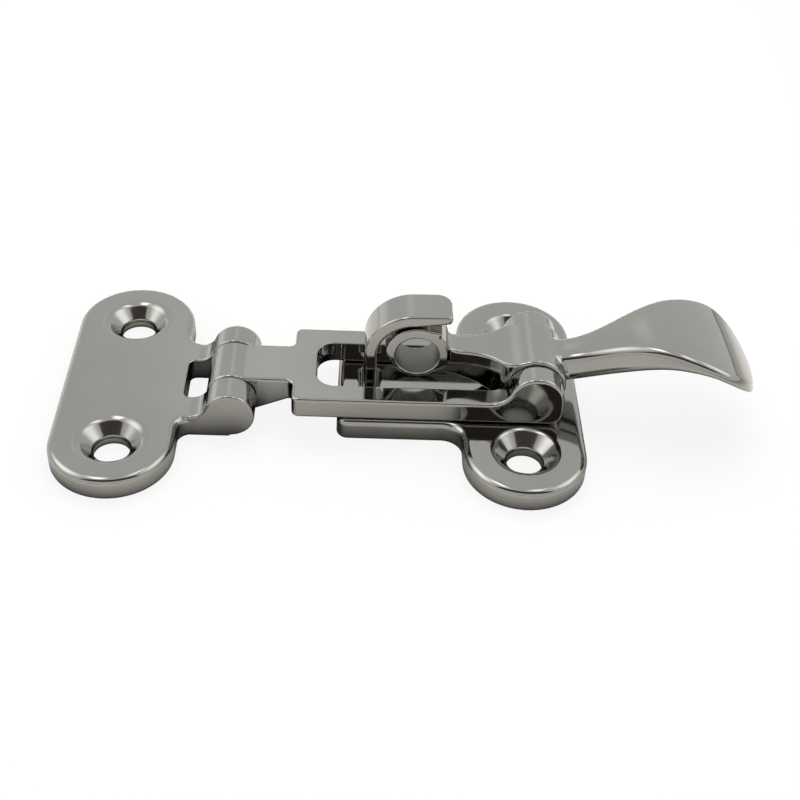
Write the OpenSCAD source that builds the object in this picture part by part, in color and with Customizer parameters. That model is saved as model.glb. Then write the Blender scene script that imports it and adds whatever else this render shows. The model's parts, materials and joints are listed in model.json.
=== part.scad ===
// Lockable over-centre hold-down clamp, cast and polished stainless steel.
// Origin: centre of the base plate's two screws, on the mounting plane.
// +X runs along the clamp from the hinge plate to the handle, +Z points away from the mounting plane.

/* [Plates] */
// Length of each screw plate, across the clamp
plate_l = 44; // [40:0.5:52]
// Width of each screw plate, along the clamp
plate_w = 17.4; // [16:0.2:19]
// Thickness of both screw plates
plate_t = 3.55; // [3:0.05:4.5]
// Rounding of the plates' top edges
edge_r = 1.1; // [0.4:0.1:1.5]
// Rounding of the plates' bottom edges
foot_r = 0.5; // [0.2:0.1:0.8]
// Distance between the centres of the two screw plates
plate_span = 57.8; // [56:0.2:60]
// Distance between the two screws of a plate
screw_pitch = 27; // [25:0.5:30]
// Screw hole
screw_d = 5; // [3.5:0.1:6]
// Countersink at the plate's top face
sink_d = 9.2; // [7.5:0.1:11]

/* [Hinge] */
// Radius of the hinge knuckles
knuckle_r = 3.6; // [3.2:0.05:4]
// Height of the knuckles' undersides above the mounting plane
knuckle_lift = 0.25; // [0.15:0.05:0.8]
// Distance from the hinge plate's edge to the hinge axis
hinge_reach = 7.2; // [6.8:0.1:9]
// Width over the two ears of the hinge plate
ears_w = 17.2; // [16:0.2:19]
// Radius of the saddle between the plate and the ears
saddle_r = 2.5; // [1.5:0.1:3]
// Hinge pin
hinge_pin_d = 3; // [2:0.1:3.6]

/* [Link] */
// Distance from the hinge axis to the lever axis
link_l = 43.4; // [42:0.1:45]
// Thickness of the link's bars
link_t = 3.35; // [2.8:0.05:3.6]
// Width over the link's two arms
link_w = 16.4; // [15:0.2:17.4]
// Width of the window between the arms
window_w = 9.7; // [8.6:0.1:10.4]
// Radius of the window's two inner corners
window_r = 2.6; // [1.5:0.1:3.5]
// Width of the waist and of the middle knuckle
waist_w = 8; // [7:0.1:9]
// Distance from the hinge axis to the link's shoulders
waist_l = 8.8; // [8:0.1:10]
// Width of the cross bar between the shoulders and the window
bar_w = 3.35; // [2.6:0.05:4]
// Radius of the raised eyes that hold the lever pin
eye_r = 3.95; // [3.6:0.05:4.1]
// Lever pin
lever_pin_d = 4; // [3:0.1:4.4]

/* [Lever] */
// Distance along the clamp from the lever axis to the nose's centre
nose_back = 17; // [16.6:0.1:17.4]
// Height of the nose's centre above the lever axis
nose_up = 3.5; // [3.3:0.05:3.7]
// Radius of the nose that turns in the hook
nose_r = 4.6; // [4.4:0.05:4.7]
// Width of the nose
nose_w = 5.86; // [5:0.1:7]
// Padlock hole through the nose
lock_d = 6.2; // [5:0.1:6.4]
// Wall between the padlock hole and the nose's underside
nose_wall = 0.75; // [0.6:0.05:1.1]
// Width of the web between the nose and the boss
web_w = 3.9; // [3.4:0.1:4.8]
// Radius of the boss that turns between the eyes
boss_r = 4.5; // [4.2:0.05:4.6]
// Distance from the lever axis to the handle's tip
handle_l = 32.6; // [28:0.1:38]
// Width of the handle's neck
neck_w = 5.4; // [4:0.1:6]
// Height of the handle's neck
neck_t = 4.8; // [3:0.1:5.2]
// Full width of the spoon-shaped blade
blade_w = 17.3; // [14:0.1:20]
// Thickness of the blade at its rim
blade_t = 1.4; // [1:0.1:2]
// Rise of the blade's middle above its rim
blade_crown = 0.3; // [0.1:0.1:1]
// Length of the blade's rounded end
blade_end = 6.8; // [6:0.1:9]
// Height of the blade's crest above the lever axis
crest_up = 6.55; // [5:0.05:8]
// Drop from the crest to the tip
tip_drop = 7.45; // [5:0.05:9]
// Rounding of the handle's lower edges
rim_low_r = 1; // [0.4:0.1:1.4]
// Rounding of the handle's upper edges
rim_top_r = 0.65; // [0.3:0.05:0.8]

/* [Hook] */
// Thickness of the hook's stem and top
hook_t = 1.85; // [1.6:0.05:2.2]
// Thickness of the hook's tip
hook_tip_t = 1.25; // [0.9:0.05:1.6]
// Width of the hook
hook_w = 5.86; // [5:0.1:7]
// Reach of the hook's tip past the nose's centre
hook_reach = 4.7; // [4.2:0.1:4.9]
// Rounding of the hook's two tip corners
tip_r = 1.1; // [0.5:0.1:2.4]
// Length of the tongue in front of the hook's stem
tongue_front = 3.65; // [2.4:0.05:5]
// Width of the base plate's tongue
tongue_w = 16.8; // [15:0.2:18]
// Fillets between the tongue and the lobes of the base plate
root_r = 3; // [1.5:0.1:4]

/* [Fits] */
// Gap between the base plate and the link that lies on it
link_gap = 0.2; // [0.1:0.05:0.3]
// Gap on each side of a knuckle or boss between its ears
side_gap = 0.1; // [0.05:0.05:0.15]
// Radial clearance of a part that turns on its pin
run_gap = 0.05; // [0.02:0.01:0.08]
// Radial clearance of a pin in the ears that grip it
grip_gap = 0.01; // [0.01:0.01:0.02]
// Play of the nose in the hook
seat_gap = 0.6; // [0.55:0.05:0.7]

/* [Hidden] */
$fn = 96;
eps = 0.01;

// Hinge axis
hinge_x = -plate_span + plate_w / 2 + hinge_reach;
hinge_z = knuckle_r + knuckle_lift;
slot_w = waist_w + 2 * side_gap;
slot_r = 1;

// Lever axis, over the base plate
link_z = plate_t + link_gap;
link_top = link_z + link_t;
pivot_x = hinge_x + link_l;
pivot_z = link_z + eye_r + 0.15;
boss_w = window_w - 2 * side_gap;
boss_floor = link_z + 0.1;
shoulder_x = hinge_x + waist_l;
window_x = shoulder_x + bar_w;
arm_blend_r = 3;

// Nose of the lever and the hook that holds it
nose_x = pivot_x - nose_back;
nose_z = pivot_z + nose_up;
hook_in_r = nose_r + seat_gap;
hook_out_r = hook_in_r + hook_t;
hook_x = nose_x - 0.45;
hook_z = nose_z - 0.3;
hook_end = nose_x + hook_reach;
stem_x = hook_x - hook_out_r;
tongue_x = stem_x - tongue_front;
fillet_r = 1;

// Handle, along X from its root inside the boss
root_x = pivot_x + 2.6;
tip_x = pivot_x + handle_l;
end_x = tip_x - blade_end;
crest_x = root_x + (tip_x - root_x) * 0.59;
taper_x = root_x + 8.9;
handle_steps = 36;
rim_steps = 4;
top_steps = 6;
neck_z = pivot_z + 0.92;

// A profile drawn along X and Z, extruded to a width that is centred on the clamp's middle plane
module side(width) {
    rotate([90, 0, 0])
        translate([0, 0, -width / 2])
            linear_extrude(width)
                children();
}

// Both halves of something drawn at positive Y
module both_sides() {
    children();
    mirror([0, 1, 0])
        children();
}

// A cylinder across the clamp
module across(x, z, d, width) {
    translate([x, 0, z])
        rotate([90, 0, 0])
            cylinder(d = d, h = width, center = true);
}

// Half the section of a plate with its top and bottom edges rounded
module rounded_section(half, thick) {
    square([half - edge_r, thick]);
    square([half - foot_r, thick - edge_r]);
    translate([0, foot_r])
        square([half, thick - edge_r - foot_r]);
    translate([half - edge_r, thick - edge_r])
        circle(edge_r);
    translate([half - foot_r, foot_r])
        circle(foot_r);
}

// Screw plate with round ends, lying along Y, with its two countersunk holes
module screw_plate() {
    reach = (plate_l - plate_w) / 2;
    both_sides()
        translate([0, reach, 0])
            rotate_extrude()
                rounded_section(plate_w / 2, plate_t);
    for (s = [0, 1])
        mirror([s, 0, 0])
            translate([0, reach, 0])
                rotate([90, 0, 0])
                    linear_extrude(2 * reach)
                        rounded_section(plate_w / 2, plate_t);
}

module screw_holes() {
    sink = (sink_d - screw_d) / 2;
    both_sides()
        translate([0, screw_pitch / 2, 0]) {
            translate([0, 0, -1])
                cylinder(d = screw_d, h = plate_t + 2);
            translate([0, 0, plate_t - sink])
                cylinder(d1 = screw_d, d2 = sink_d + 2 * eps, h = sink + eps);
        }
}

// The corner between two edges at right angles, filled to a radius, with its edges rounded as the plates'
module filled_corner(r) {
    difference() {
        translate([-edge_r, -edge_r, 0])
            cube([r + edge_r, r + edge_r, plate_t]);
        translate([r, r, 0])
            rotate_extrude()
                difference() {
                    union() {
                        translate([0, -eps])
                            square([r, plate_t + 2 * eps]);
                        translate([0, plate_t - edge_r])
                            square([r + edge_r, edge_r + eps]);
                        translate([0, -eps])
                            square([r + foot_r, foot_r + eps]);
                    }
                    translate([r + edge_r, plate_t - edge_r])
                        circle(edge_r);
                    translate([r + foot_r, foot_r])
                        circle(foot_r);
                }
    }
}

// The hook seen from the side: a stem with filleted root, a quarter bend and a tapered top
module hook_profile() {
    top_z = hook_z + hook_out_r + 0.1;
    difference() {
        intersection() {
            translate([hook_x, hook_z])
                circle(hook_out_r);
            translate([stem_x, hook_z])
                square(hook_out_r);
        }
        translate([hook_x, hook_z])
            circle(hook_in_r);
    }
    polygon([
        [hook_x - eps, hook_z + hook_in_r],
        [hook_end, top_z - hook_tip_t],
        [hook_end, top_z],
        [hook_x - eps, hook_z + hook_out_r]
    ]);
    translate([stem_x, plate_t / 2])
        square([hook_t, hook_z - plate_t / 2 + eps]);
    difference() {
        translate([stem_x - fillet_r, plate_t - eps])
            square([hook_t + 2 * fillet_r, fillet_r + eps]);
        translate([stem_x - fillet_r, plate_t + fillet_r])
            circle(fillet_r);
        translate([stem_x + hook_t + fillet_r, plate_t + fillet_r])
            circle(fillet_r);
    }
}

// Tongue of the base plate, rounded along its top edges and at its two free corners
module tongue() {
    corner = 1.6;
    intersection() {
        linear_extrude(plate_t)
            union() {
                translate([tongue_x + corner, -tongue_w / 2])
                    square([-tongue_x - corner, tongue_w]);
                translate([tongue_x, -tongue_w / 2 + corner])
                    square([corner + eps, tongue_w - 2 * corner]);
                for (s = [-1, 1])
                    translate([tongue_x + corner, s * (tongue_w / 2 - corner)])
                        circle(corner);
            }
        side(tongue_w)
            mirror([1, 0])
                rounded_section(-tongue_x, plate_t);
        rotate([90, 0, 90])
            translate([0, 0, tongue_x])
                linear_extrude(-tongue_x)
                    for (s = [0, 1])
                        mirror([s, 0])
                            rounded_section(tongue_w / 2, plate_t);
    }
}

// The hook, with its tip's corners rounded as seen from above
module hook() {
    intersection() {
        side(hook_w)
            hook_profile();
        linear_extrude(hook_z + hook_out_r + 1)
            union() {
                translate([stem_x - fillet_r, -hook_w / 2])
                    square([hook_end - tip_r - stem_x + fillet_r, hook_w]);
                translate([hook_end - tip_r - eps, -hook_w / 2 + tip_r])
                    square([tip_r + eps, hook_w - 2 * tip_r]);
                for (s = [-1, 1])
                    translate([hook_end - tip_r, s * (hook_w / 2 - tip_r)])
                        circle(tip_r);
            }
    }
}

module base_plate() {
    color([0.62, 0.61, 0.59])
        difference() {
            union() {
                screw_plate();
                tongue();
                both_sides()
                    translate([-plate_w / 2, tongue_w / 2, 0])
                        mirror([1, 0, 0])
                            filled_corner(root_r);
                hook();
            }
            screw_holes();
        }
}

// One ear of the hinge plate seen from the side: foot, saddle and round knuckle
module ear_profile() {
    rise = plate_t + saddle_r - hinge_z;
    saddle_x = hinge_x - sqrt(pow(knuckle_r + saddle_r, 2) - rise * rise);
    toe = 1.3;
    reach = sqrt(toe * toe + hinge_z * hinge_z);
    turn = atan2(-hinge_z, -toe) + acos(knuckle_r / reach);
    translate([hinge_x, hinge_z])
        circle(knuckle_r);
    polygon([
        [hinge_x - toe, 0],
        [hinge_x + knuckle_r * cos(turn), hinge_z + knuckle_r * sin(turn)],
        [hinge_x, hinge_z],
        [hinge_x - toe, hinge_z]
    ]);
    edge_x = -plate_span + plate_w / 2 - edge_r - 0.5;
    translate([edge_x, 0])
        square([hinge_x - toe - edge_x, plate_t - 0.5]);
    translate([edge_x, 0])
        square([saddle_x - edge_x, plate_t]);
    difference() {
        polygon([
            [saddle_x, 0],
            [hinge_x - toe, 0],
            [hinge_x, hinge_z],
            [saddle_x, plate_t + saddle_r]
        ]);
        translate([saddle_x, plate_t + saddle_r])
            circle(saddle_r);
    }
}

module hinge_plate() {
    edge_x = -plate_span + plate_w / 2;
    slot_x = edge_x + 0.35;
    color([0.62, 0.61, 0.59])
        difference() {
            union() {
                translate([-plate_span, 0, 0])
                    screw_plate();
                side(ears_w)
                    ear_profile();
                both_sides()
                    translate([edge_x, ears_w / 2, 0])
                        filled_corner(2);
            }
            translate([-plate_span, 0, 0])
                screw_holes();
            translate([0, 0, -1])
                linear_extrude(hinge_z + knuckle_r + 2)
                    union() {
                        translate([slot_x + slot_r, -slot_w / 2])
                            square([hinge_x + knuckle_r + 1 - slot_x - slot_r, slot_w]);
                        translate([slot_x, -slot_w / 2 + slot_r])
                            square([slot_r + eps, slot_w - 2 * slot_r]);
                        for (s = [-1, 1])
                            translate([slot_x + slot_r, s * (slot_w / 2 - slot_r)])
                                circle(slot_r);
                    }
            across(hinge_x, hinge_z, hinge_pin_d + 2 * grip_gap, ears_w + 2);
        }
}

module hinge_pin() {
    color([0.5, 0.5, 0.5])
        across(hinge_x, hinge_z, hinge_pin_d, ears_w);
}

// The link seen from the side: knuckle, tapered waist, bars and raised eyes
module link_profile() {
    drop = hinge_z - link_z;
    reach = sqrt(waist_l * waist_l + drop * drop);
    turn = atan2(-drop, waist_l) - acos(knuckle_r / reach);
    blend_z = link_top + arm_blend_r;
    blend_x = pivot_x - sqrt(pow(eye_r + arm_blend_r, 2) - pow(blend_z - pivot_z, 2));
    heel_r = 2;
    translate([hinge_x, hinge_z])
        circle(knuckle_r);
    polygon([
        [hinge_x, hinge_z],
        [hinge_x + knuckle_r * cos(turn), hinge_z + knuckle_r * sin(turn)],
        [shoulder_x, link_z],
        [shoulder_x + eps, link_top],
        [hinge_x, link_top]
    ]);
    translate([shoulder_x, link_z])
        square([pivot_x - shoulder_x, link_t]);
    translate([pivot_x, pivot_z])
        circle(eye_r);
    translate([pivot_x - 1, link_z])
        square([eye_r + 1 - heel_r, heel_r]);
    translate([pivot_x, link_z + heel_r])
        square([eye_r, pivot_z - link_z - heel_r]);
    translate([pivot_x + eye_r - heel_r, link_z + heel_r])
        circle(heel_r);
    difference() {
        polygon([
            [blend_x, link_top - 1],
            [pivot_x, link_top - 1],
            [pivot_x, pivot_z],
            [blend_x, blend_z]
        ]);
        translate([blend_x, blend_z])
            circle(arm_blend_r);
    }
}

// The link seen from above: waist, shoulders and a fork that is open at the lever's end
module link_plan() {
    corner = 1;
    end_x = pivot_x + eye_r;
    difference() {
        union() {
            translate([hinge_x - knuckle_r - 1, -waist_w / 2])
                square([knuckle_r + 1 + waist_l + corner, waist_w]);
            translate([shoulder_x, -link_w / 2 + corner])
                square([end_x - shoulder_x, link_w - 2 * corner]);
            translate([shoulder_x + corner, -link_w / 2])
                square([end_x - shoulder_x - corner, link_w]);
            for (s = [-1, 1])
                translate([shoulder_x + corner, s * (link_w / 2 - corner)])
                    circle(corner);
            for (s = [-1, 1])
                difference() {
                    translate([shoulder_x - corner / 2, s * (waist_w / 2 + corner / 2)])
                        square(corner, center = true);
                    translate([shoulder_x - corner, s * (waist_w / 2 + corner)])
                        circle(corner);
                }
        }
        translate([window_x + window_r, -window_w / 2])
            square([end_x - window_x, window_w]);
        translate([window_x, -window_w / 2 + window_r])
            square([window_r + eps, window_w - 2 * window_r]);
        for (s = [-1, 1])
            translate([window_x + window_r, s * (window_w / 2 - window_r)])
                circle(window_r);
    }
}

module link() {
    color([0.62, 0.61, 0.59])
        difference() {
            intersection() {
                side(link_w)
                    link_profile();
                linear_extrude(pivot_z + eye_r + 1)
                    link_plan();
            }
            across(hinge_x, hinge_z, hinge_pin_d + 2 * run_gap, waist_w + 2);
            across(pivot_x, pivot_z, lever_pin_d + 2 * grip_gap, link_w + 2);
        }
}

module lever_pin() {
    color([0.5, 0.5, 0.5])
        across(pivot_x, pivot_z, lever_pin_d, link_w);
}

// The nose seen from the side: round at the top, with its lower flanks cut away to pass the stem
// and down to an even wall round the padlock hole
module nose_profile() {
    ring_r = lock_d / 2 + nose_wall;
    translate([nose_x, nose_z])
        circle(ring_r);
    intersection() {
        translate([nose_x, nose_z])
            circle(nose_r);
        polygon([
            [nose_x - nose_r - 1, nose_z + 0.4],
            [nose_x - nose_r - 0.1, nose_z + 0.25],
            [nose_x - ring_r * cos(50), nose_z - ring_r * sin(50)],
            [nose_x, nose_z],
            [nose_x + ring_r * cos(50), nose_z - ring_r * sin(50)],
            [nose_x + nose_r + 1, nose_z - 1.1],
            [nose_x + nose_r + 1, nose_z + nose_r + 1],
            [nose_x - nose_r - 1, nose_z + nose_r + 1]
        ]);
    }
}

// The web and the boss seen from the side
module body_profile() {
    saddle = 3.2;
    saddle_x = nose_x + nose_r + 1.9;
    saddle_z = pivot_z + boss_r - 0.75 + saddle;
    floor_z = nose_z - lock_d / 2 - nose_wall;
    difference() {
        polygon([
            [nose_x + 1, floor_z],
            [nose_x + 5, floor_z],
            [pivot_x - 2, boss_floor],
            [pivot_x, boss_floor],
            [pivot_x, pivot_z + boss_r],
            [pivot_x - 3.4, saddle_z - saddle],
            [saddle_x, saddle_z - saddle],
            [saddle_x, saddle_z],
            [nose_x + 1, nose_z + nose_r - 0.2]
        ]);
        translate([saddle_x, saddle_z])
            circle(saddle);
    }
    difference() {
        translate([pivot_x, pivot_z])
            circle(boss_r);
        translate([pivot_x - 2 * boss_r, boss_floor - 2 * boss_r])
            square([4 * boss_r, 2 * boss_r]);
    }
}

// The lever seen from above: nose, slim web and the flare into the boss
module body_plan() {
    flare_x = pivot_x - boss_r + 0.3;
    out = (boss_w - web_w) / 2;
    run = 6.4;
    flare_r = (run * run + out * out) / (2 * out);
    translate([nose_x - nose_r - 1, -nose_w / 2])
        square([2 * nose_r + 0.7, nose_w]);
    translate([nose_x, -web_w / 2])
        square([pivot_x - nose_x, web_w]);
    translate([flare_x, -boss_w / 2])
        square([2 * boss_r + 1, boss_w]);
    for (s = [0, 1])
        mirror([0, s])
            difference() {
                translate([flare_x - run, 0])
                    square([run + eps, boss_w / 2]);
                translate([flare_x - run, web_w / 2 + flare_r])
                    circle(flare_r);
            }
}

// Smooth step from 0 to 1
function ease(t) = let (u = min(1, max(0, t))) u * u * (3 - 2 * u);

// Half the handle's width at x: a neck that flares into a round-ended blade
function half_width(x) =
    let (flare = ease(pow(max(0, (x - root_x - 1) / (end_x - root_x - 1)), 1.15)))
    let (round_end = x > end_x ? sqrt(max(0, 1 - pow((x - end_x) / blade_end, 2))) : 1)
    (neck_w / 2 + (blade_w - neck_w) / 2 * flare) * round_end;

// Height of the middle of the handle's rim at x
function rim_z(x) =
    x < crest_x
        ? neck_z + (pivot_z + crest_up - neck_z) * ease((x - root_x) / (crest_x - root_x))
        : pivot_z + crest_up - tip_drop * pow((x - crest_x) / (tip_x - crest_x), 2.4);

// Thickness of the handle's rim at x
function rim_t(x) = neck_t + (blade_t - neck_t) * ease((x - taper_x) / (end_x - taper_x));

// One closed section of the handle, anticlockwise as seen from the tip
function handle_section(x) =
    let (w = half_width(x), z = rim_z(x), t = rim_t(x))
    let (r = min(0.45 * t, 0.6 * w, rim_low_r))
    let (q = min(0.45 * t, 0.6 * w, rim_top_r))
    let (crown = min(blade_crown, 0.35 * w))
    concat(
        [for (i = [0 : rim_steps]) let (a = -90 + 90 * i / rim_steps)
            [x, w - r + r * cos(a), z - t / 2 + r + r * sin(a)]],
        [for (i = [0 : rim_steps]) let (a = 90 * i / rim_steps)
            [x, w - q + q * cos(a), z + t / 2 - q + q * sin(a)]],
        [for (i = [1 : top_steps - 1]) let (y = (w - q) * (1 - 2 * i / top_steps))
            [x, y, z + t / 2 + crown * (1 - pow(y / (w - q), 2))]],
        [for (i = [0 : rim_steps]) let (a = 90 + 90 * i / rim_steps)
            [x, -w + q + q * cos(a), z + t / 2 - q + q * sin(a)]],
        [for (i = [0 : rim_steps]) let (a = 180 + 90 * i / rim_steps)
            [x, -w + r + r * cos(a), z - t / 2 + r + r * sin(a)]]
    );

// The handle, a loft through its sections that closes in a thin round tip
module handle() {
    last = tip_x - 0.02 * blade_end;
    stations = [for (i = [0 : handle_steps]) let (u = i / handle_steps)
        root_x + (last - root_x) * sin(90 * u)];
    rings = [for (x = stations) handle_section(x)];
    n = len(rings[0]);
    points = [for (ring = rings) each ring];
    walls = [for (i = [0 : handle_steps - 1], j = [0 : n - 1], k = [0, 1])
        let (a = i * n + j, b = i * n + (j + 1) % n)
        k == 0 ? [a, b, a + n] : [b, b + n, a + n]];
    caps = [
        [for (j = [0 : n - 1]) j],
        [for (j = [0 : n - 1]) handle_steps * n + n - 1 - j]
    ];
    polyhedron(points, concat(walls, caps), convexity = 4);
}

module lever() {
    color([0.62, 0.61, 0.59])
        difference() {
            union() {
                intersection() {
                    side(boss_w)
                        union() {
                            nose_profile();
                            body_profile();
                        }
                    linear_extrude(nose_z + nose_r + 1)
                        body_plan();
                }
                handle();
            }
            across(nose_x, nose_z, lock_d, nose_w + 2);
            across(pivot_x, pivot_z, lever_pin_d + 2 * run_gap, boss_w + 2);
        }
}

base_plate();
hinge_plate();
hinge_pin();
link();
lever_pin();
lever();
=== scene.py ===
"""Over-centre hold-down clamp in polished cast stainless steel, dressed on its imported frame.
Sizes in the sections are in millimetres and the meshes in metres; places come from the frame."""
import json
import math

import bpy
import numpy as np
from mathutils import Matrix, Vector


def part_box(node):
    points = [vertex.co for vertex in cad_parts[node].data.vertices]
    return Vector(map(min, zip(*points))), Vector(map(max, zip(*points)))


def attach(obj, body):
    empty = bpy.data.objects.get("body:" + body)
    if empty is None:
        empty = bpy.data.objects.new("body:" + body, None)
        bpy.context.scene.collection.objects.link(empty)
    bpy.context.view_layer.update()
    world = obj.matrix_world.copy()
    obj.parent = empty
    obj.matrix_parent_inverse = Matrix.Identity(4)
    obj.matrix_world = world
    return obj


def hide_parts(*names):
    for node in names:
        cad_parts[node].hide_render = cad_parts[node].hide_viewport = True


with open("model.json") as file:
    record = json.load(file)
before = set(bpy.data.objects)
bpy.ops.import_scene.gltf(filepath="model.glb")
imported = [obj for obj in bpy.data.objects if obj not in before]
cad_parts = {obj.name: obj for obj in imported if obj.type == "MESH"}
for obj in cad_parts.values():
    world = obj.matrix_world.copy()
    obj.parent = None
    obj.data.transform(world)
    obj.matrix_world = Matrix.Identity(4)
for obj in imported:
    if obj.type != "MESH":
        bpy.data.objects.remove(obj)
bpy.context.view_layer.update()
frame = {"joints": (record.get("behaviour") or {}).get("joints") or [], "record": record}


# Studio. A pale floor in a white room, lit by one lamp behind the clamp. Polished steel looks
# like what stands round it, so cards with fading edges that light nothing hang there for it to
# mirror:
# light ones overhead, at both sides and behind as painted highlights, and a dark one above the
# camera as a painted dark reflection.
MM = 0.001
scene = bpy.context.scene
scene.view_settings.view_transform = "Standard"
target = Vector((-16, 0, 6)) * MM
camera_place = Vector((-24.228, -149.094, 129.052)) * MM
camera_azimuth = math.radians(2.616)
camera_drop = math.radians(40.735)
camera_roll = math.radians(3.445)
camera_lens = 59.65
camera_sensor = 36
room_light = 0.3
floor_tone = (0.88, 0.86, 0.835)
# Painted shade on the floor: its colour is dimmed to a share beyond the handle, over a span of X
floor_far_painted_shade = (45 * MM, 90 * MM)
floor_far_painted_shade_share = 0.6
floor_glow = 0.9
# Painted shade on the floor: an occlusion node darkens its colour within this reach of the clamp,
# deepened by this gamma
floor_painted_shade_reach = 25 * MM
floor_painted_shade_depth = 1.55
floor_reach = 2.5
floor_gap = 0.02 * MM
lamp_side = 0.5
lamp_radiance = 6.8


def maths(nodes, operation, *values):
    """A Math node's result, from numbers and from other nodes' results"""
    node = nodes.new("ShaderNodeMath")
    node.operation = operation
    for socket, value in zip(node.inputs, values):
        if isinstance(value, (int, float)):
            socket.default_value = value
        else:
            nodes.id_data.links.new(value, socket)
    return node.outputs[0]


def spread(nodes, value, low, high, start, end, run="LINEAR"):
    """Low up to the start, high from the end on, and a run between them"""
    node = nodes.new("ShaderNodeMapRange")
    node.interpolation_type = run
    node.inputs["From Min"].default_value = start
    node.inputs["From Max"].default_value = end
    node.inputs["To Min"].default_value = low
    node.inputs["To Max"].default_value = high
    nodes.id_data.links.new(value, node.inputs["Value"])
    return node.outputs[0]


def aim_camera():
    ahead = Vector((
        math.sin(camera_azimuth) * math.cos(camera_drop),
        math.cos(camera_azimuth) * math.cos(camera_drop),
        -math.sin(camera_drop),
    ))
    level = Vector((math.cos(camera_azimuth), -math.sin(camera_azimuth), 0))
    above = level.cross(ahead)
    right = level * math.cos(camera_roll) + above * math.sin(camera_roll)
    up = above * math.cos(camera_roll) - level * math.sin(camera_roll)
    lens = bpy.data.cameras.new("camera")
    lens.lens = camera_lens
    lens.sensor_width = camera_sensor
    lens.clip_start = 10 * MM
    camera = bpy.data.objects.new("camera", lens)
    scene.collection.objects.link(camera)
    turn = Matrix((right, up, -ahead)).transposed().to_4x4()
    camera.matrix_world = Matrix.Translation(camera_place) @ turn
    scene.camera = camera


def white_room():
    """White to camera, glossy and transmission rays, and dimmer as a light"""
    world = bpy.data.worlds.new("white_room")
    world.use_nodes = True
    nodes = world.node_tree.nodes
    background = nodes["Background"]
    background.inputs["Color"].default_value = (1, 1, 1, 1)
    rays = nodes.new("ShaderNodeLightPath").outputs
    seen = maths(nodes, "MAXIMUM", rays["Is Camera Ray"], rays["Is Glossy Ray"])
    seen = maths(nodes, "MAXIMUM", seen, rays["Is Transmission Ray"])
    strength = spread(nodes, seen, room_light, 1, 0, 1)
    world.node_tree.links.new(strength, background.inputs["Strength"])
    scene.world = world


def sheet(name, outline):
    """A flat sheet and the nodes of its paint, which has no shader yet"""
    mesh = bpy.data.meshes.new(name)
    mesh.from_pydata(outline, [], [(0, 1, 2, 3)])
    piece = bpy.data.objects.new(name, mesh)
    scene.collection.objects.link(piece)
    paint = bpy.data.materials.new(name)
    paint.use_nodes = True
    mesh.materials.append(paint)
    nodes = paint.node_tree.nodes
    nodes.remove(nodes["Principled BSDF"])
    return piece, nodes


def own_place(nodes):
    """The X, Y and Z of a point on its own sheet"""
    split = nodes.new("ShaderNodeSeparateXYZ")
    place = nodes.new("ShaderNodeTexCoord").outputs["Object"]
    nodes.id_data.links.new(place, split.inputs[0])
    return split.outputs


def glow_over(nodes, under, tone, share):
    """Finishes a paint: the share of a glowing tone over the shader under it"""
    glow = nodes.new("ShaderNodeEmission")
    glow.inputs["Color"].default_value = (*tone, 1)
    mix = nodes.new("ShaderNodeMixShader")
    links = nodes.id_data.links
    for socket, value in zip(mix.inputs, (share, under, glow.outputs[0])):
        links.new(value, socket)
    links.new(mix.outputs[0], nodes["Material Output"].inputs["Surface"])


def pale_floor():
    """Matt, painted darker as shade where the clamp shelters it and beyond the handle, near white
    to the camera
    """
    r = floor_reach
    z = -floor_gap
    floor, nodes = sheet("floor", [(-r, -r, z), (r, -r, z), (r, r, z), (-r, r, z)])
    links = nodes.id_data.links
    # Painted shade: the occlusion node darkens the floor's colour near the clamp
    occlusion_painted_shade = nodes.new("ShaderNodeAmbientOcclusion")
    occlusion_painted_shade.inputs["Color"].default_value = (*floor_tone, 1)
    occlusion_painted_shade.inputs["Distance"].default_value = floor_painted_shade_reach
    deeper = nodes.new("ShaderNodeGamma")
    deeper.inputs["Gamma"].default_value = floor_painted_shade_depth
    links.new(occlusion_painted_shade.outputs["Color"], deeper.inputs["Color"])
    # Painted shade: the floor's colour dims beyond the handle
    x = own_place(nodes)["X"]
    dimmed = nodes.new("ShaderNodeVectorMath")
    dimmed.operation = "SCALE"
    links.new(deeper.outputs[0], dimmed.inputs[0])
    fall = spread(nodes, x, 1, floor_far_painted_shade_share, *floor_far_painted_shade, "SMOOTHSTEP")
    links.new(fall, dimmed.inputs["Scale"])
    matt = nodes.new("ShaderNodeBsdfDiffuse")
    links.new(dimmed.outputs[0], matt.inputs["Color"])
    to_camera = nodes.new("ShaderNodeLightPath").outputs["Is Camera Ray"]
    share = maths(nodes, "MULTIPLY", to_camera, floor_glow)
    glow_over(nodes, matt.outputs[0], (1, 1, 1), share)


def polar(azimuth, elevation, distance):
    """A place round the target: azimuth 0 is the camera's side, 90 the handle's side"""
    a = math.radians(azimuth)
    e = math.radians(elevation)
    out = Vector((math.sin(a) * math.cos(e), -math.cos(a) * math.cos(e), math.sin(e)))
    return target + out * distance


def hung(piece, place):
    """Puts a lamp or a card in its place, turned to the target"""
    turn = (target - place).to_track_quat("-Z", "Y").to_matrix().to_4x4()
    piece.matrix_world = Matrix.Translation(place) @ turn


def key_light():
    """A square lamp that lights the floor and isn't mirrored"""
    lamp = bpy.data.lights.new("key_light", "AREA")
    lamp.shape = "SQUARE"
    lamp.size = lamp_side
    lamp.energy = lamp_radiance * math.pi * lamp_side ** 2
    holder = bpy.data.objects.new("key_light", lamp)
    scene.collection.objects.link(holder)
    hung(holder, polar(180, 70, 0.6))
    holder.visible_camera = False
    holder.visible_glossy = False


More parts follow.
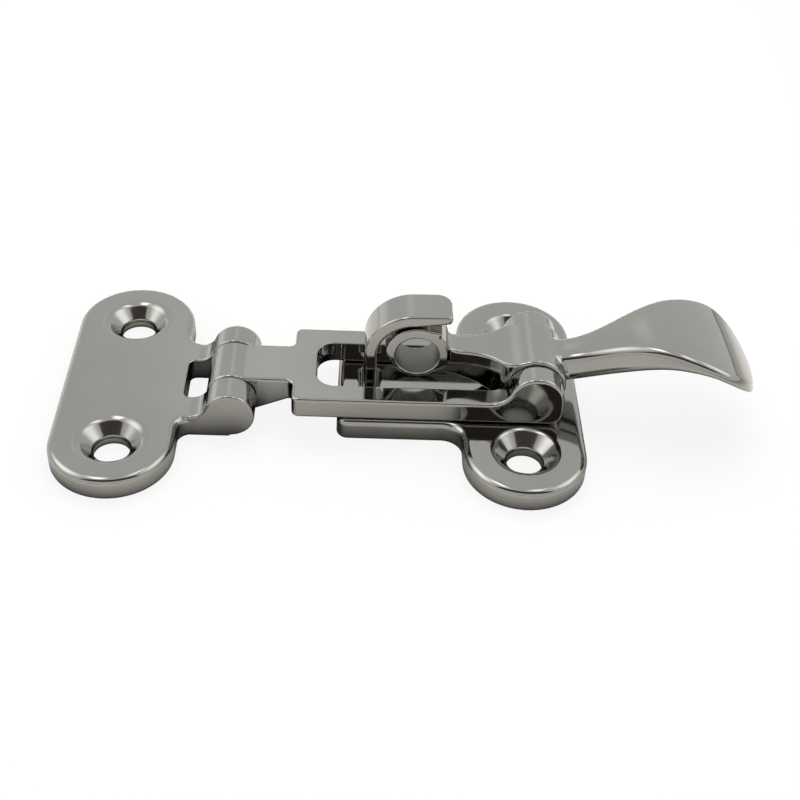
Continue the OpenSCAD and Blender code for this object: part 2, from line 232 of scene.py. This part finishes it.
def card(name, place, width, height, tone, fade, narrowing):
    """A card seen in reflections only and lighting nothing, a painted reflection that fades
    towards its edges and may narrow upwards
    """
    w = width / 2
    h = height / 2
    t = w * narrowing
    board, nodes = sheet(name, [(-w, -h, 0), (w, -h, 0), (t, h, 0), (-t, h, 0)])
    hung(board, place)
    cover = []
    for along, half in zip(own_place(nodes), (w, h)):
        away = maths(nodes, "ABSOLUTE", along)
        cover.append(spread(nodes, away, 1, 0, half * (1 - fade), half, "SMOOTHSTEP"))
    clear = nodes.new("ShaderNodeBsdfTransparent").outputs[0]
    glow_over(nodes, clear, tone, maths(nodes, "MULTIPLY", *cover))
    board.visible_camera = False
    board.visible_diffuse = False
    board.visible_shadow = False


aim_camera()
white_room()
pale_floor()
key_light()
overhead_left = target + Vector((-0.19, -0.02, 0.6))
overhead_right = target + Vector((0.16, -0.02, 0.6))
for name, place, width, height, tone, fade, narrowing in (
    ("overhead_left_box", overhead_left, 0.42, 0.22, (4.6, 4.6, 4.6), 0.9, 1),
    ("overhead_right_box", overhead_right, 0.42, 0.22, (3.2, 3.2, 3.2), 0.9, 1),
    ("left_box", polar(-95, 40, 0.8), 0.9, 0.85, (2.8, 2.8, 2.75), 0.85, 1),
    ("back_left_box", polar(-136, 6, 0.8), 0.45, 0.4, (1.35, 1.35, 1.35), 0.8, 1),
    ("right_box", polar(95, 42, 0.8), 0.9, 0.8, (2.5, 2.5, 2.5), 0.85, 1),
    ("back_box", polar(187, 40, 0.8), 0.26, 0.3, (1.2, 1.2, 1.2), 0.95, 1),
    # A dark card seen in reflections only: a painted dark reflection above the camera
    ("camera_card", polar(0, 48, 0.5), 1.1, 0.26, (0.12, 0.09, 0.095), 0.12, 0.4),
):
    card(name, place, width, height, tone, fade, narrowing)


# Base plate. One investment casting, linished and mirror polished: the screw plate with its
# round lobes, the tongue that runs under the link, and the hook that holds the lever's nose.
# The countersinks are cut after the polish and keep the cutter's duller finish.
mounts = {mount["name"]: mount for mount in frame["record"]["mounts"]}
joints = {joint["name"]: joint for joint in frame["joints"]}


def corners(node):
    low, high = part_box(node)
    return np.array(low) / MM, np.array(high) / MM


def side_place(row):
    """The X and Z of a mount or a joint"""
    x, _, z = np.array(row["pos_m"]) / MM
    return x, z


def meet(a, b, r):
    """What lies inside both, with the edge between them rounded to r"""
    p = np.maximum(a + r, 0)
    q = np.maximum(b + r, 0)
    return np.minimum(np.maximum(a, b) + r, 0) + np.hypot(p, q) - r


def join(a, b, r):
    """What lies inside either, with the corner between them filled to r"""
    return -meet(-a, -b, r)


def cut(a, b, r):
    """The first without the second, with the new edge rounded to r"""
    return meet(a, -b, r)


def beyond(x, z, x0, z0, x1, z1):
    """How far a point lies to the left of the line from 0 to 1"""
    run = math.hypot(x1 - x0, z1 - z0)
    return ((x1 - x0) * (z - z0) - (z1 - z0) * (x - x0)) / run


def rod(x, z, centre_x, centre_z, radius):
    """A rod or a bore of the given radius, seen along its axis"""
    return np.hypot(x - centre_x, z - centre_z) - radius


def stadium(x, y, length, width):
    return np.hypot(x, np.maximum(np.abs(y) - (length - width) / 2, 0)) - width / 2


def slope(solid, p, step=0.01):
    """The way out of the solid at each point"""
    out = np.empty_like(p)
    for axis in range(3):
        shift = np.zeros(3)
        shift[axis] = step
        out[:, axis] = solid(*(p + shift).T) - solid(*(p - shift).T)
    return out / (2 * step)


def net(solid, low, high, cell, margin=1.5):
    """One point in each cell that the surface crosses, and a face round each crossed edge"""
    before = margin * cell
    after = (margin + 1) * cell
    axes = [np.arange(a - before, b + after, cell) for a, b in zip(low, high)]
    value = solid(*np.meshgrid(*axes, indexing="ij")).astype(np.float32)
    size = np.array(value.shape) - 1
    count = np.zeros(size.prod())
    total = np.zeros((size.prod(), 3))
    faces = []
    for axis in range(3):
        near = np.take(value, range(size[axis]), axis)
        far = np.take(value, range(1, size[axis] + 1), axis)
        at = np.argwhere((near < 0) != (far < 0))
        first = near[tuple(at.T)]
        last = far[tuple(at.T)]
        crossing = at.astype(float)
        crossing[:, axis] += first / (first - last)
        u, v = (axis + 1) % 3, (axis + 2) % 3
        ring = []
        for du, dv in ((0, 0), (-1, 0), (-1, -1), (0, -1)):
            place = at.copy()
            place[:, u] += du
            place[:, v] += dv
            index = np.ravel_multi_index(place.T, size)
            count += np.bincount(index, minlength=len(count))
            for k in range(3):
                total[:, k] += np.bincount(index, crossing[:, k], len(count))
            ring.append(index)
        quads = np.stack(ring, 1)
        outward = first < 0
        faces.append(np.where(outward[:, None], quads, quads[:, ::-1]))
    used = np.flatnonzero(count)
    number = np.full(len(count), -1)
    number[used] = np.arange(len(used))
    points = total[used] / count[used, None] * cell + np.array([axis[0] for axis in axes])
    return points, number[np.concatenate(faces)]


def casting(name, solid, low, high, cell, steps=5, reach=0.4, flattest=0.05):
    """A closed mesh of the solid's surface, with every point and normal true to it"""
    points, faces = net(solid, low, high, cell)
    for step in range(steps):
        way = slope(solid, points)
        error = solid(*points.T) / np.maximum((way ** 2).sum(1), flattest)
        points -= way * np.clip(error, -reach * cell, reach * cell)[:, None]
    way = slope(solid, points)
    normals = way / np.linalg.norm(way, axis=1)[:, None]
    mesh = bpy.data.meshes.new(name)
    mesh.from_pydata((points * MM).tolist(), [], faces.tolist())
    mesh.validate()
    mesh.shade_smooth()
    mesh.normals_split_custom_set_from_vertices(normals.tolist())
    piece = bpy.data.objects.new(name, mesh)
    scene.collection.objects.link(piece)
    return piece


def drilled(piece, steel, cutter, skin=0.02):
    """Gives the cutter's material to the faces that it left: a duller finish, and painted shade
    where that material has it
    """
    faces = piece.data.polygons
    centres = np.empty(len(faces) * 3)
    faces.foreach_get("center", centres)
    touched = cutter(*(centres.reshape(-1, 3) / MM).T) < skin
    piece.data.materials.append(steel)
    faces.foreach_set("material_index", touched.astype(np.int32))


steel_tone = (0.31, 0.312, 0.288)
steel_shade = (0.285, 0.283, 0.268)
noise_low = 0.3
noise_high = 0.7
shade_scale = 90
bloom_scale = 260
wave_scale = 170
wave_strength = 0.35
wave_height = 0.06 * MM
line_scale = 2500
line_strength = 0.06
line_height = 0.01 * MM


def noise(nodes, source, scale, detail, stretch=(1, 1, 1)):
    links = nodes.id_data.links
    mapping = nodes.new("ShaderNodeMapping")
    mapping.inputs["Scale"].default_value = stretch
    links.new(source, mapping.inputs["Vector"])
    texture = nodes.new("ShaderNodeTexNoise")
    texture.inputs["Scale"].default_value = scale
    texture.inputs["Detail"].default_value = detail
    links.new(mapping.outputs[0], texture.inputs["Vector"])
    return texture.outputs["Fac"]


def polished_steel(name, smooth, dull, stretch, tone_share=1.0):
    """Mirror polish: slow waves left by the mop, faint lines along the piece, a thin bloom; a tone
    share under one darkens the steel as painted shade
    """
    steel = bpy.data.materials.new(name)
    steel.use_nodes = True
    nodes = steel.node_tree.nodes
    links = steel.node_tree.links
    shade = nodes["Principled BSDF"]
    shade.inputs["Metallic"].default_value = 1
    place = nodes.new("ShaderNodeTexCoord").outputs["Object"]
    tone = nodes.new("ShaderNodeMix")
    tone.data_type = "RGBA"
    tone.inputs["A"].default_value = (*(tone_share * c for c in steel_tone), 1)
    tone.inputs["B"].default_value = (*(tone_share * c for c in steel_shade), 1)
    clouds = spread(nodes, noise(nodes, place, shade_scale, 3), 0, 1, noise_low, noise_high)
    links.new(clouds, tone.inputs["Factor"])
    links.new(tone.outputs["Result"], shade.inputs["Base Color"])
    bloom = noise(nodes, place, bloom_scale, 4)
    links.new(spread(nodes, bloom, smooth, dull, noise_low, noise_high), shade.inputs["Roughness"])
    waves = nodes.new("ShaderNodeBump")
    waves.inputs["Strength"].default_value = wave_strength
    waves.inputs["Distance"].default_value = wave_height
    links.new(noise(nodes, place, wave_scale, 1), waves.inputs["Height"])
    lines = nodes.new("ShaderNodeBump")
    lines.inputs["Strength"].default_value = line_strength
    lines.inputs["Distance"].default_value = line_height
    links.new(noise(nodes, place, line_scale, 2, stretch), lines.inputs["Height"])
    links.new(waves.outputs[0], lines.inputs["Normal"])
    links.new(lines.outputs[0], shade.inputs["Normal"])
    return steel


plate_low, plate_high = corners("base_plate")
plate_l = plate_high[1] - plate_low[1]
plate_w = 2 * plate_high[0]
plate_t = 3.55
plate_cell = 0.22
edge_r = 1.1
foot_r = 0.5
screws = mounts["base_screws"]["dims"]
screw_r = screws["hole_r_mm"]
screw_y = screws["spacing_y_mm"] / 2
sink_r = 4.6
sink_rise = 1
sink_edge_r = 0.3
base_sink_rim_r = 0.3
tongue_l = -plate_low[0]
tongue_w = 16.8
tongue_corner_r = 1.6
tongue_root_r = 3.0
nose_x, nose_z = side_place(mounts["padlock_hole"])
hook_x = nose_x - 0.45
hook_z = nose_z - 0.3
hook_end = nose_x + 4.7
hook_in_r = 5.2
hook_t = 1.85
hook_w = 5.86
hook_climb = 0.1
hook_tip_t = 1.25
hook_edge_r = 0.45
hook_foot_r = 1.0
hook_root_z = 1
near_tip_r = 0.6
far_tip_r = 2.2
stem_x = hook_x - hook_in_r - hook_t


def screw_hole(x, y, z):
    """A drilled hole under a countersink, with the edge between them rounded"""
    across = np.hypot(x, np.abs(y) - screw_y)
    cone = (across - sink_r - np.minimum(z - plate_t, sink_rise)) / math.sqrt(2)
    return join(across - screw_r, cone, sink_edge_r)


def screw_plate(plan, z):
    """A plan drawn up to the plates' thickness, with both rims rounded"""
    return meet(meet(plan, z - plate_t, edge_r), -z, foot_r)


def hook_side(x, z):
    """The hook seen from the side: stem, quarter bend and tapered top"""
    stem = np.abs(x - stem_x - hook_t / 2) - hook_t / 2
    bend = np.abs(rod(x, z, hook_x, hook_z, hook_in_r + hook_t / 2)) - hook_t / 2
    top_z = hook_z + hook_in_r + hook_t
    end_z = top_z + hook_climb
    over = beyond(x, z, hook_x, top_z, hook_end, end_z)
    under = -beyond(x, z, hook_x, top_z - hook_t, hook_end, end_z - hook_tip_t)
    top = np.maximum(over, under)
    return np.where(z < hook_z, stem, np.where(x < hook_x, bend, top))


def base_plate(x, y, z):
    along = np.abs(x + tongue_l / 2) - tongue_l / 2
    tongue = meet(along, np.abs(y) - tongue_w / 2, tongue_corner_r)
    plate = screw_plate(join(stadium(x, y, plate_l, plate_w), tongue, tongue_root_r), z)
    tip_r = np.where(y < 0, near_tip_r, far_tip_r)
    tip = meet(x - hook_end, np.abs(y) - hook_w / 2, tip_r)
    hook = np.maximum(meet(hook_side(x, z), tip, hook_edge_r), hook_root_z - z)
    return cut(join(plate, hook, hook_foot_r), screw_hole(x, y, z), base_sink_rim_r)


casting_steel = polished_steel("mirror_polished_casting", 0.05, 0.11, (0.12, 1, 1))
sink_steel = polished_steel("satin_countersink", 0.1, 0.16, (1, 1, 0.1))
base = casting("base_plate_casting", base_plate, plate_low, plate_high, plate_cell)
base.data.materials.append(casting_steel)
drilled(base, sink_steel, screw_hole)
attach(base, "plates")
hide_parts("base_plate")


# Hinge plate. The second casting: the same screw plate with two ears that stand up from its edge
# in a hollow saddle and grip the hinge pin. The pin's ends are ground flush and don't show.
hinge_low, hinge_high = corners("hinge_plate")
hinge_x, hinge_z = side_place(joints["link_hinge"])
hinge_plate_x, _ = side_place(mounts["hinge_screws"])
hinge_sink_rim_r = 0.5
knuckle_r = 3.6
ears_w = 17.2
near_ear_edge_r = 0.35
far_ear_edge_r = 1.3
ear_toe = 1.3
ear_toe_r = 0.1
ear_foot_r = 2.0
ear_lap = 1.6
saddle_r = 2.5
slot_start_x = hinge_plate_x + plate_w / 2 + 0.35
slot_w = 8.2
slot_r = 1.0
slot_rim_r = 0.3
hinge_bore_r = 1.51
pin_wall = 0.3


def saddle(x, z, floor_z, centre_x, centre_z, radius, hollow):
    """The filling in the corner between a floor and a round boss to the right of it"""
    fill_z = floor_z + hollow
    fill_x = centre_x - math.sqrt((radius + hollow) ** 2 - (fill_z - centre_z) ** 2)
    under = beyond(x, z, fill_x, fill_z, centre_x, centre_z)
    wedge = np.maximum(np.maximum(under, fill_x - x), x - centre_x)
    return np.maximum(wedge, -rod(x, z, fill_x, fill_z, hollow))


def ear_side(x, z):
    """An ear seen from the side: knuckle, foot under it, and saddle down to the plate"""
    knuckle = rod(x, z, hinge_x, hinge_z, knuckle_r)
    reach = math.hypot(ear_toe, hinge_z)
    turn = math.atan2(-hinge_z, -ear_toe) + math.acos(knuckle_r / reach)
    heel_x = hinge_x + knuckle_r * math.cos(turn)
    heel_z = hinge_z + knuckle_r * math.sin(turn)
    below = -beyond(x, z, hinge_x - ear_toe, 0, heel_x, heel_z)
    foot = np.maximum(np.maximum(below, -z), z - plate_t)
    foot = np.maximum(foot, beyond(x, z, hinge_x, hinge_z, heel_x, heel_z))
    fill = saddle(x, z, plate_t, hinge_x, hinge_z, knuckle_r, saddle_r)
    return np.minimum(np.minimum(knuckle, foot), np.maximum(fill, -z))


def hinge_screw_hole(x, y, z):
    return screw_hole(x - hinge_plate_x, y, z)


def hinge_plate(x, y, z):
    side = np.abs(y) - ears_w / 2
    lobes = stadium(x - hinge_plate_x, y, plate_l, plate_w)
    block = meet(side, x - hinge_x + ear_toe, ear_toe_r)
    plan = np.where(x < hinge_plate_x, lobes, join(lobes, block, ear_foot_r))
    ear_start_x = hinge_plate_x + plate_w / 2 - ear_lap
    edge = np.where(y < 0, near_ear_edge_r, far_ear_edge_r)
    ears = meet(np.maximum(ear_side(x, z), ear_start_x - x), side, edge)
    slot = meet(slot_start_x - x, np.abs(y) - slot_w / 2, slot_r)
    body = cut(np.minimum(screw_plate(plan, z), ears), slot, slot_rim_r)
    bore = np.maximum(rod(x, z, hinge_x, hinge_z, hinge_bore_r), side + pin_wall)
    return cut(np.maximum(body, -bore), hinge_screw_hole(x, y, z), hinge_sink_rim_r)


hinge = casting("hinge_plate_casting", hinge_plate, hinge_low, hinge_high, plate_cell)
hinge.data.materials.append(casting_steel)
drilled(hinge, sink_steel, hinge_screw_hole)
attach(hinge, "plates")
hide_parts("hinge_plate")


# Hinge pin and lever pin. Two turned rods with chamfered ends, pressed into the ears of the
# hinge plate and into the eyes of the link, where the steel is polished flush over their ends.
pin_chamfer = 0.25
pin_sides = 96
pin_crease = math.radians(25)


def turned_pin_tree():
    """A rod along Y: four stations on a line, drawn out with a circle, chamfered at both ends"""
    tree = bpy.data.node_groups.new("turned_pin", "GeometryNodeTree")
    tree.interface.new_socket("Geometry", in_out="OUTPUT", socket_type="NodeSocketGeometry")
    for label, kind in (
        ("Radius", "NodeSocketFloat"),
        ("Length", "NodeSocketFloat"),
        ("Chamfer", "NodeSocketFloat"),
        ("Place", "NodeSocketVector"),
        ("Material", "NodeSocketMaterial"),
    ):
        tree.interface.new_socket(label, in_out="INPUT", socket_type=kind)
    nodes = tree.nodes
    links = tree.links
    given = nodes.new("NodeGroupInput").outputs
    station = nodes.new("GeometryNodeInputIndex").outputs[0]

    def by_station(values):
        switch = nodes.new("GeometryNodeIndexSwitch")
        switch.data_type = "FLOAT"
        while len(switch.index_switch_items) < len(values):
            switch.index_switch_items.new()
        links.new(station, switch.inputs[0])
        for socket, value in zip(list(switch.inputs)[1:], values):
            links.new(value, socket)
        return switch.outputs[0]

    half = maths(nodes, "MULTIPLY", given["Length"], 0.5)
    inner = maths(nodes, "SUBTRACT", half, given["Chamfer"])
    thin = maths(nodes, "SUBTRACT", given["Radius"], given["Chamfer"])
    near_end = maths(nodes, "MULTIPLY", half, -1)
    near_inner = maths(nodes, "MULTIPLY", inner, -1)
    along = [near_end, near_inner, inner, half]
    radii = [thin, given["Radius"], given["Radius"], thin]
    line = nodes.new("GeometryNodeMeshLine")
    line.inputs["Count"].default_value = len(along)
    path = nodes.new("GeometryNodeMeshToCurve")
    links.new(line.outputs[0], path.inputs[0])
    place = nodes.new("ShaderNodeCombineXYZ")
    links.new(by_station(along), place.inputs["Y"])
    centre = nodes.new("ShaderNodeVectorMath")
    links.new(place.outputs[0], centre.inputs[0])
    links.new(given["Place"], centre.inputs[1])
    laid_out = nodes.new("GeometryNodeSetPosition")
    links.new(path.outputs[0], laid_out.inputs["Geometry"])
    links.new(centre.outputs[0], laid_out.inputs["Position"])
    ring = nodes.new("GeometryNodeCurvePrimitiveCircle")
    ring.inputs["Resolution"].default_value = pin_sides
    ring.inputs["Radius"].default_value = 1
    drawn = nodes.new("GeometryNodeCurveToMesh")
    drawn.inputs["Fill Caps"].default_value = True
    links.new(laid_out.outputs[0], drawn.inputs["Curve"])
    links.new(by_station(radii), drawn.inputs["Scale"])
    links.new(ring.outputs[0], drawn.inputs["Profile Curve"])
    real = nodes.new("GeometryNodeRealizeInstances")
    links.new(drawn.outputs[0], real.inputs[0])
    coat = nodes.new("GeometryNodeSetMaterial")
    links.new(real.outputs[0], coat.inputs["Geometry"])
    links.new(given["Material"], coat.inputs["Material"])
    done = nodes.new("NodeGroupOutput")
    links.new(coat.outputs[0], done.inputs[0])
    return tree


def turned(name, tree, values):
    """The tree's rod as a plain mesh object"""
    blank = bpy.data.objects.new(name + "_blank", bpy.data.meshes.new(name + "_blank"))
    scene.collection.objects.link(blank)
    grown = blank.modifiers.new("grown", "NODES")
    grown.node_group = tree
    for socket in tree.interface.items_tree:
        if socket.in_out == "INPUT":
            grown[socket.identifier] = values[socket.name]
    bpy.context.view_layer.update()
    graph = bpy.context.evaluated_depsgraph_get()
    mesh = bpy.data.meshes.new_from_object(blank.evaluated_get(graph))
    mesh.name = name
    mesh.shade_smooth()
    mesh.set_sharp_from_angle(angle=pin_crease)
    piece = bpy.data.objects.new(name, mesh)
    scene.collection.objects.link(piece)
    blank.modifiers.remove(grown)
    bpy.data.objects.remove(blank)
    return piece


pin_steel = polished_steel("turned_pin_steel", 0.2, 0.32, (1, 0.05, 1))
pin_tree = turned_pin_tree()
for node, body, axis in (
    ("hinge_pin", "plates", joints["link_hinge"]),
    ("lever_pin", "link", joints["lever_pivot"]),
):
    pin_low, pin_high = corners(node)
    pin = turned(node + "_turned", pin_tree, {
        "Radius": float(pin_high[2] - pin_low[2]) / 2 * MM,
        "Length": float(pin_high[1] - pin_low[1] - 2 * pin_wall) * MM,
        "Chamfer": pin_chamfer * MM,
        "Place": tuple(axis["pos_m"]),
        "Material": pin_steel,
    })
    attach(pin, body)
    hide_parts(node)


# Link. The third casting: a knuckle between the ears, a tapered waist, a cross bar with square
# shoulders, and two flat arms whose raised eyes carry the lever.
link_low, link_high = corners("link")
pivot_x, pivot_z = side_place(joints["lever_pivot"])
link_w = link_high[1] - link_low[1]
link_z = plate_t + 0.2
link_top = link_z + 3.35
link_edge_r = 0.45
link_cell = 0.18
waist_w = 8.0
waist_l = 8.8
shoulder_x = hinge_x + waist_l
shoulder_r = 1.0
window_x = shoulder_x + 3.35
window_w = 9.7
window_r = 2.6
window_edge_r = 0.15
knuckle_bore_r = 1.55
knuckle_blend_r = 2.0
knuckle_blend_lap = 0.5
eye_r = link_high[0] - pivot_x
eye_bore_r = 2.01
heel_r = 2.0
heel_lap = 1
arm_blend_r = 3.0
arm_blend_lap = 1


def slab(x, low, high):
    return np.maximum(low - x, x - high)


def link_side(x, z):
    """The link seen from the side: knuckle, flat bars, raised eye, and the hollows between"""
    knuckle = rod(x, z, hinge_x, hinge_z, knuckle_r)
    drop = hinge_z - link_z
    turn = math.atan2(-drop, waist_l) - math.acos(knuckle_r / math.hypot(waist_l, drop))
    chin_x = hinge_x + knuckle_r * math.cos(turn)
    chin_z = hinge_z + knuckle_r * math.sin(turn)
    under = np.minimum(-beyond(x, z, chin_x, chin_z, shoulder_x, link_z), link_z - z)
    under = np.maximum(under, -beyond(x, z, hinge_x, hinge_z, chin_x, chin_z))
    bars = np.maximum(np.maximum(under, z - link_top), slab(x, hinge_x, pivot_x))
    neck = saddle(-x, z, link_top, -hinge_x, hinge_z, knuckle_r, knuckle_blend_r)
    neck = np.maximum(neck, link_top - knuckle_blend_lap - z)
    eye = rod(x, z, pivot_x, pivot_z, eye_r)
    heel = meet(x - pivot_x - eye_r, link_z - z, heel_r)
    heel = np.maximum(np.maximum(heel, pivot_x - heel_lap - x), z - pivot_z)
    arm = saddle(x, z, link_top, pivot_x, pivot_z, eye_r, arm_blend_r)
    arm = np.maximum(arm, link_top - arm_blend_lap - z)
    return np.minimum.reduce([knuckle, bars, neck, eye, heel, arm])


def link(x, y, z):
    across = np.abs(y)
    arms = meet(shoulder_x - x, across - link_w / 2, shoulder_r)
    plan = join(arms, across - waist_w / 2, shoulder_r)
    window = meet(window_x - x, across - window_w / 2, window_r)
    body = cut(meet(link_side(x, z), plan, link_edge_r), window, window_edge_r)
    knuckle_bore = rod(x, z, hinge_x, hinge_z, knuckle_bore_r)
    eye_bore = rod(x, z, pivot_x, pivot_z, eye_bore_r)
    eye_bore = np.maximum(eye_bore, across - link_w / 2 + pin_wall)
    return np.maximum(body, -np.minimum(knuckle_bore, eye_bore))


yoke = casting("link_casting", link, link_low, link_high, link_cell)
yoke.data.materials.append(casting_steel)
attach(yoke, "link")
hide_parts("link")


# Lever. The fourth casting: a round nose with a bored padlock hole, satin and painted darker as
# shade, a slim web, the boss on the lever pin, and a spoon-shaped handle that sweeps up, over a
# crest and down to a thin round tip.
lever_low, lever_high = corners("lever")
tip_x = lever_high[0]
lever_edge_r = 0.4
lever_cell = 0.18
lever_bore_r = 2.05
lock_r = mounts["padlock_hole"]["dims"]["r_mm"]
lock_rim_r = 0.15
nose_r = 4.6
nose_w = 5.86
nose_lap = 0.3
ring_r = lock_r + 0.75
cheek_r = 0.5
cheek_x = ring_r * math.cos(math.radians(50))
cheek_z = ring_r * math.sin(math.radians(50))
flank_end = (nose_r + 1, -1.1)
front_end = (-nose_r - 0.1, 0.25)
web_w = 3.9
web_lap = 1
web_floor = nose_z - ring_r
web_slant = (nose_x + 5, pivot_x - 2)
boss_r = 4.5
boss_w = window_w - 0.2
boss_floor = link_z + 0.1
web_top = pivot_z + boss_r - 0.75
ramp_r = 8.0
nose_saddle_r = 3.2
nose_saddle_top = nose_z + nose_r - 0.2
nose_saddle_x = nose_x + nose_r + 1.9
nose_saddle_z = web_top + nose_saddle_r
flare_l = 6.4
flare_x = pivot_x - boss_r + 0.3 - flare_l
flare_edge_r = 0.8
root_x = pivot_x + 2.6
root_r = 0.6
root_lap = 1
blade_end = 6.8
end_x = tip_x - blade_end
crest_x = root_x + (tip_x - root_x) * 0.59
crest_z = pivot_z + 6.55
taper_x = root_x + 8.9
tip_drop = 7.45
tip_curl = 2.4
neck_w = 5.4
neck_t = 4.8
neck_z = pivot_z + 0.92
neck_lift = 0.5
neck_wall_rise = 3.6
blade_w = 17.3
blade_t = 1.4
blade_crown = 0.3
blade_flare_x = root_x + 1
blade_flare_delay = 1.15
rim_low_r = 2.2
rim_top_r = 0.7
rim_share = 0.45
rim_tilt = math.radians(15)


def nose_flank(x, z):
    """The cut under the nose on the web's side; the other flank is steeper, to pass the stem"""
    return -beyond(x - nose_x, z - nose_z, cheek_x, -cheek_z, *flank_end)


def nose_side(x, z):
    """The nose seen from the side: a ring round the padlock hole, and a round top over it"""
    u = x - nose_x
    v = z - nose_z
    front = -beyond(u, v, *front_end, -cheek_x, -cheek_z)
    flanks = np.maximum(nose_flank(x, z), front)
    round_top = meet(rod(u, v, 0, 0, nose_r), flanks, cheek_r)
    return np.minimum(rod(u, v, 0, 0, ring_r), np.maximum(round_top, -cheek_z - v))


def body_side(x, z):
    """The web and the boss seen from the side, with the hollows at the nose and at the boss"""
    start_x = nose_x + web_lap
    slant = -beyond(x, z, web_slant[0], web_floor, web_slant[1], boss_floor)
    under = np.maximum(np.minimum(web_floor - z, slant), boss_floor - z)
    web = np.maximum(np.maximum(under, z - web_top), slab(x, start_x, pivot_x))
    ramp = saddle(x, z, web_top, pivot_x, pivot_z, boss_r, ramp_r)
    ramp = np.maximum(ramp, web_top - web_lap - z)
    chord = beyond(x, z, start_x, nose_saddle_top, nose_saddle_x, nose_saddle_z)
    fill = np.maximum(chord, slab(x, start_x, nose_saddle_x))
    fill = np.maximum(fill, web_top - web_lap - z)
    fill = np.maximum(fill, -rod(x, z, nose_saddle_x, nose_saddle_z, nose_saddle_r))
    boss = np.maximum(rod(x, z, pivot_x, pivot_z, boss_r), boss_floor - z)
    return np.minimum.reduce([web, ramp, fill, boss])


def slim_plan(x, across):
    """The web and the boss seen from above, with the web flaring out to the boss's width"""
    web = np.maximum(across - web_w / 2, x - pivot_x)
    out = (boss_w - web_w) / 2
    flare_r = (flare_l ** 2 + out ** 2) / (2 * out)
    flare = -rod(x, across, flare_x, web_w / 2 + flare_r, flare_r)
    boss = np.maximum(meet(across - boss_w / 2, flare, flare_edge_r), flare_x - x)
    return np.minimum(web, boss)


def full_plan(x, across):
    nose = np.maximum(across - nose_w / 2, x - nose_x - nose_r + nose_lap)
    return join(nose, slim_plan(x, across), flare_edge_r)


def ease(t):
    u = np.clip(t, 0, 1)
    return u * u * (3 - 2 * u)


def rim_height(x):
    """The middle of the handle's rim: an eased rise to the crest and a curl down to the tip"""
    rise = neck_z + (crest_z - neck_z) * ease((x - root_x) / (crest_x - root_x))
    past = np.maximum((x - crest_x) / (tip_x - crest_x), 0)
    return np.where(x < crest_x, rise, crest_z - tip_drop * past ** tip_curl)


def blade_half(x):
    run = np.maximum((x - blade_flare_x) / (end_x - blade_flare_x), 0)
    return neck_w / 2 + (blade_w - neck_w) / 2 * ease(run ** blade_flare_delay)


def handle(x, across, z, step=0.05):
    """Top, underside and rim of the blade, each made true to distance along its slope"""
    middle = rim_height(x)
    climb = (rim_height(x + step) - rim_height(x - step)) / (2 * step)
    level = 1 / np.sqrt(1 + climb ** 2)
    half = blade_half(x)
    widen = (blade_half(x + step) - blade_half(x - step)) / (2 * step)
    thick = neck_t + (blade_t - neck_t) * ease((x - taper_x) / (end_x - taper_x))
    heft = (thick - blade_t) / (neck_t - blade_t)
    side = (across - half) / np.sqrt(1 + widen ** 2)
    u = np.maximum(x - end_x, 0) / blade_end
    v = across / (blade_w / 2)
    near = np.hypot(u, v)
    oval = near * (near - 1) / np.maximum(np.hypot(u / blade_end, v * 2 / blade_w), 1e-6)
    side = np.where(x > end_x, oval, side)
    lean = z - middle + thick / 2 - neck_wall_rise * heft
    side = side * math.cos(rim_tilt) + lean * math.sin(rim_tilt)
    bulge = blade_crown * np.clip(1 - (across / half) ** 2, 0, 1)
    over = (z - middle - thick / 2 - bulge) * level
    under = (middle - thick / 2 + neck_lift * heft - z) * level
    low_r = np.minimum(rim_share * thick * level, rim_low_r)
    top_r = np.minimum(rim_share * thick * level, rim_top_r)
    shell = meet(meet(side, over, top_r), under, low_r)
    return np.maximum(shell, root_x - root_lap - x)


def padlock_hole(x, y, z):
    return rod(x, z, nose_x, nose_z, lock_r)


def lever(x, y, z):
    across = np.abs(y)
    side = body_side(x, z)
    head_side = np.minimum(nose_side(x, z), np.maximum(side, nose_flank(x, z)))
    head = meet(head_side, full_plan(x, across), lever_edge_r)
    body = np.minimum(head, meet(side, slim_plan(x, across), lever_edge_r))
    body = join(body, handle(x, across, z), root_r)
    body = cut(body, padlock_hole(x, y, z), lock_rim_r)
    return np.maximum(body, -rod(x, z, pivot_x, pivot_z, lever_bore_r))


# The padlock bore's steel is satin, and at half the tone as painted shade inside the hole
bore_steel = polished_steel("satin_padlock_bore_painted_shade", 0.42, 0.5, (1, 0.05, 1), 0.5)
spoon = casting("lever_casting", lever, lever_low, lever_high, lever_cell)
spoon.data.materials.append(casting_steel)
drilled(spoon, bore_steel, padlock_hole)
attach(spoon, "lever")
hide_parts("lever")
